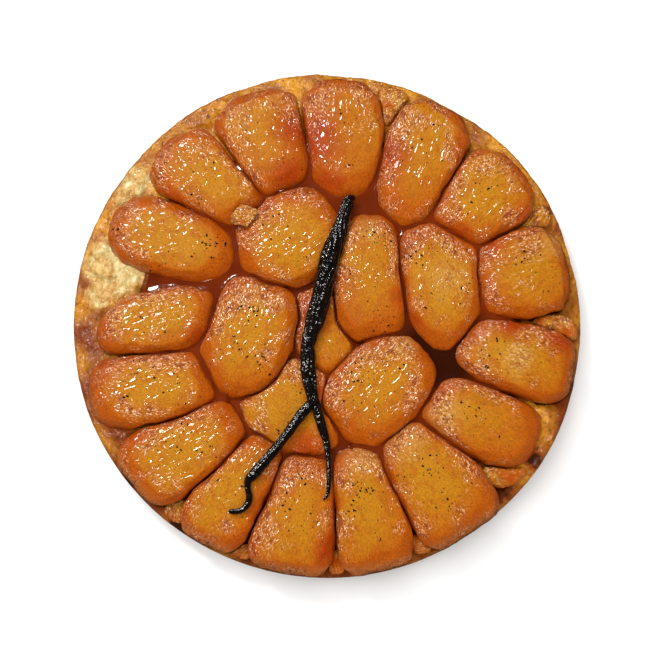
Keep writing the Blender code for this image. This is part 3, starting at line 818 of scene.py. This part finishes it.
# Route points are (x, y, width) in millimetres from the middle of the pod's box.
POD_BODY = [(28.6, 71.8, 3.2), (27.0, 72.6, 4.1), (25.6, 70.8, 5.3), (24.4, 67.4, 5.8), (21.4, 57.1, 7.2)]
POD_BODY += [(17.0, 44.8, 9.3), (13.6, 28.6, 8.6), (10.3, 16.4, 8.9), (6.8, 3.9, 6.4), (6.6, 0.0, 7.0)]
POD_BODY += [(6.7, -5.1, 6.9), (6.8, -9.5, 6.7), (7.2, -12.5, 5.5)]
POD_LEFT = [(6.4, -5.8, 4.0), (5.6, -9.8, 4.2), (7.1, -15.8, 4.4), (8.0, -21.3, 3.7), (8.1, -23.6, 4.4)]
POD_LEFT += [(3.4, -29.3, 5.0), (-6.0, -42.2, 4.2), (-16.8, -55.5, 4.8), (-20.2, -59.0, 3.9)]
POD_LEFT += [(-20.6, -62.9, 2.8), (-19.8, -66.8, 2.9), (-21.0, -70.7, 2.8), (-24.4, -73.2, 2.6)]
POD_LEFT += [(-29.4, -73.4, 2.1)]
POD_RIGHT = [(8.2, -5.8, 3.6), (8.8, -10.8, 3.6), (9.2, -17.3, 3.7), (10.2, -23.8, 4.2), (12.8, -33.3, 4.4)]
POD_RIGHT += [(15.2, -41.2, 3.2), (16.2, -49.6, 2.5), (16.4, -59.4, 2.1), (15.8, -65.3, 1.6)]
POD_RIGHT += [(13.8, -68.3, 0.9)]

pod_tree = search_tree(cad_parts["vanilla_pod"].data)
pod_low, pod_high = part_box("vanilla_pod")
pod_middle = (pod_low + pod_high) / 2


def pod_height(x, y):
    """The height of the solid pod's middle above this spot, or None beside it."""
    above = pod_tree.ray_cast(Vector((x, y, 1)), Vector((0, 0, -1)))[0]
    below = pod_tree.ray_cast(Vector((x, y, -1)), Vector((0, 0, 1)))[0]
    return None if above is None else (above.z + below.z) / 2


def smooth_route(points):
    """Points at an even step along a smooth curve through the route, with the width."""
    ends = [2 * Vector(points[0]) - Vector(points[1])] + [Vector(p) for p in points]
    ends.append(2 * ends[-1] - ends[-2])
    made = []
    for before, start, end, after in zip(ends, ends[1:], ends[2:], ends[3:]):
        count = max(2, round((end - start).to_2d().length * MM / POD_STEP))
        for i in range(count):
            part = i / count
            bend = 2 * start + (end - before) * part + (2 * before - 5 * start + 4 * end - after) * part**2
            made.append((bend + (3 * start - before - 3 * end + after) * part**3) / 2)
    made.append(ends[-2])
    return made


def pod_strand(body, points, pleats, seed):
    """Adds one pleated strand of the pod along its route, closed at both ends."""
    route = smooth_route(points)
    ground = [(pod_middle.x + p.x * MM, pod_middle.y + p.y * MM) for p in route]
    heights = [pod_height(*spot) for spot in ground]
    known = [i for i, h in enumerate(heights) if h is not None]
    heights = [heights[min(known, key=lambda k: abs(k - i))] for i in range(len(heights))]
    windows = [heights[max(0, i - 3) : i + 4] for i in range(len(heights))]
    heights = [sum(window) / len(window) for window in windows]
    sides = 6 * pleats
    last = None
    for i, (point, (x, y), z) in enumerate(zip(route, ground, heights)):
        ahead = route[min(i + 1, len(route) - 1)] - route[max(i - 1, 0)]
        course = Vector((ahead.x, ahead.y, 0)).normalized()
        left = Vector((-course.y, course.x, 0))
        end = min(i, len(route) - 1 - i) * POD_STEP / (0.5 * point.z * MM)
        blunt = math.sqrt(1 - max(0, 1 - end) ** 2) if end < 1 else 1
        knot = 1 + 0.1 * noise.noise(Vector((i * 0.1, seed, 0)))
        knot += 0.04 * noise.noise(Vector((i * 0.3, seed, 3)))
        ring = []
        for side in range(sides):
            angle = 2 * math.pi * side / sides
            drift = 1.2 * noise.noise(Vector((i * 0.03, seed, 9)))
            twist = 2 * noise.noise(Vector((angle, i * 0.04, seed)))
            pleat = abs(math.sin(0.5 * pleats * (angle + drift) + twist))
            size = 0.5 * point.z * MM * max(0.12, blunt) * knot * (0.86 + 0.2 * pleat**0.7)
            round_here = Vector((math.cos(angle), math.sin(angle), i * 0.12 + seed))
            size *= 1 + 0.06 * noise.noise(round_here * 1.5)
            spot = Vector((x, y, z)) + left * size * math.cos(angle)
            spot.z += size * POD_FLATNESS * 1.1 * math.sin(angle)
            ring.append(body.verts.new(spot))
        loop = [body.edges.new(pair) for pair in zip(ring, ring[1:] + ring[:1])]
        if last is None:
            body.faces.new(ring)
        else:
            bmesh.ops.bridge_loops(body, edges=last + loop)
        last = loop
    body.faces.new(ring)


strands = bmesh.new()
pod_strand(strands, POD_BODY, 9, 1.0)
pod_strand(strands, POD_LEFT, 7, 20.0)
pod_strand(strands, POD_RIGHT, 7, 40.0)
bmesh.ops.recalc_face_normals(strands, faces=strands.faces)
pod = object_of(strands, "vanilla_pod_dried")

# Cured vanilla: a nearly black skin with an oily shine that breaks up on its fine grain.
leather, tree, output = new_material("oily_vanilla_skin")
wide = add(tree, "TexCoord").outputs["Object"]
grit = add(
    tree, "TexNoise", {"Vector": wide, "Scale": 1 / (2 * MM), "Detail": 2, "Roughness": 0.6}
).outputs[0]
skin = add(tree, "Mix", {0: grit, 6: linear("#050404"), 7: linear("#14100D")}, data_type="RGBA").outputs[2]
bump = add(tree, "Bump", {"Height": grit, "Distance": 0.9 * MM}).outputs[0]
shader = add(
    tree,
    "BsdfPrincipled",
    {
        "Base Color": skin,
        "Roughness": 0.35,
        "Normal": bump,
        "Specular IOR Level": 0.2,
        "Coat Weight": 1.0,
        "Coat Roughness": 0.04,
        "Coat IOR": 1.7,
        "Coat Normal": bump,
    },
)
tree.links.new(shader.outputs[0], output.inputs[0])
pod.data.materials.append(leather)
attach(pod, "root")
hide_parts("vanilla_pod")

# --- Vanilla seeds ----------------------------------------------------------------------
# Seeds and shreds scraped from the pod, stirred into the caramel: black grains up to a
# millimetre across that stuck to the slices in clusters.

# Half sizes in millimetres. A single seed is about 0.3 mm, too fine to show, so they are drawn
# larger, as the clumps that they stick together in.
SEED_SIZES = (0.22, 0.26, 0.3, 0.36, 0.5)
# Each cluster is (x, y, spread, number) in millimetres from the tart's axis.
CLUSTERS = [
    (-54, 33, 7, 26), (-97, 42, 4, 8), (-83, 26, 7, 10), (43, 28, 5, 16), (51, 33, 4, 10),
    (65, 13, 5, 10), (48, 8, 7, 8), (20, 42, 3, 12), (27, 36, 4, 14), (26, -1, 5, 14),
    (15, 18, 7, 8), (-37, 3, 9, 30), (-30, -20, 7, 22), (-44, -13, 7, 18), (-67, -48, 7, 16),
    (-75, -62, 9, 8), (-55, -59, 7, 8), (-82, 2, 8, 12), (-68, -6, 7, 6), (16, -79, 6, 26),
    (11, -89, 4, 12), (23, -98, 7, 6), (45, -70, 7, 16), (54, -84, 7, 12), (35, -75, 4, 8),
    (62, -41, 7, 16), (72, -50, 7, 8), (-13, -74, 6, 14), (-18, -87, 7, 10), (-8, -93, 7, 8),
    (-87, -26, 7, 14), (-73, -32, 7, 8), (-93, -36, 5, 6), (17, -27, 8, 16), (31, -22, 6, 8),
    (13, -41, 7, 8), (90, 26, 8, 12), (101, 15, 6, 6), (74, 63, 8, 12), (67, 53, 6, 6),
    (76, -15, 5, 10), (70, -22, 4, 6), (-20, 72, 7, 5), (-31, 89, 7, 5), (8, 94, 7, 6),
    (11, 72, 7, 6), (46, 80, 8, 7), (53, 94, 5, 4), (-58, 70, 8, 8), (-62, 56, 6, 6),
    (-42, -84, 6, 6), (-47, -75, 6, 5), (-27, 44, 7, 6), (-13, 32, 7, 8), (-17, -36, 7, 8),
    (-24, -52, 6, 6),
]

chance = random.Random(7)
seeds = bmesh.new()
for x, y, spread, number in CLUSTERS:
    for _ in range(number):
        spot_x = (x + chance.gauss(0, 0.6 * spread)) * MM
        spot_y = (y + chance.gauss(0, 0.6 * spread)) * MM
        under = [trees[node] for node in apple_nodes if covers(node, spot_x, spot_y)]
        heights = [height_at(found, spot_x, spot_y) for found in under]
        heights = [h for h in heights if h is not None]
        if not heights:
            continue
        size = chance.choice(SEED_SIZES) * MM
        placed = Matrix.Translation((spot_x, spot_y, max(heights) + 0.3 * size))
        placed = placed @ Matrix.Rotation(chance.uniform(0, math.pi), 4, "Z")
        placed = placed @ Matrix.Diagonal((size * chance.uniform(1, 1.7), size, 0.6 * size, 1))
        bmesh.ops.create_icosphere(seeds, subdivisions=1, radius=1, matrix=placed)
grains = object_of(seeds, "vanilla_seeds")
grains.data.materials.append(leather)
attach(grains, "root")
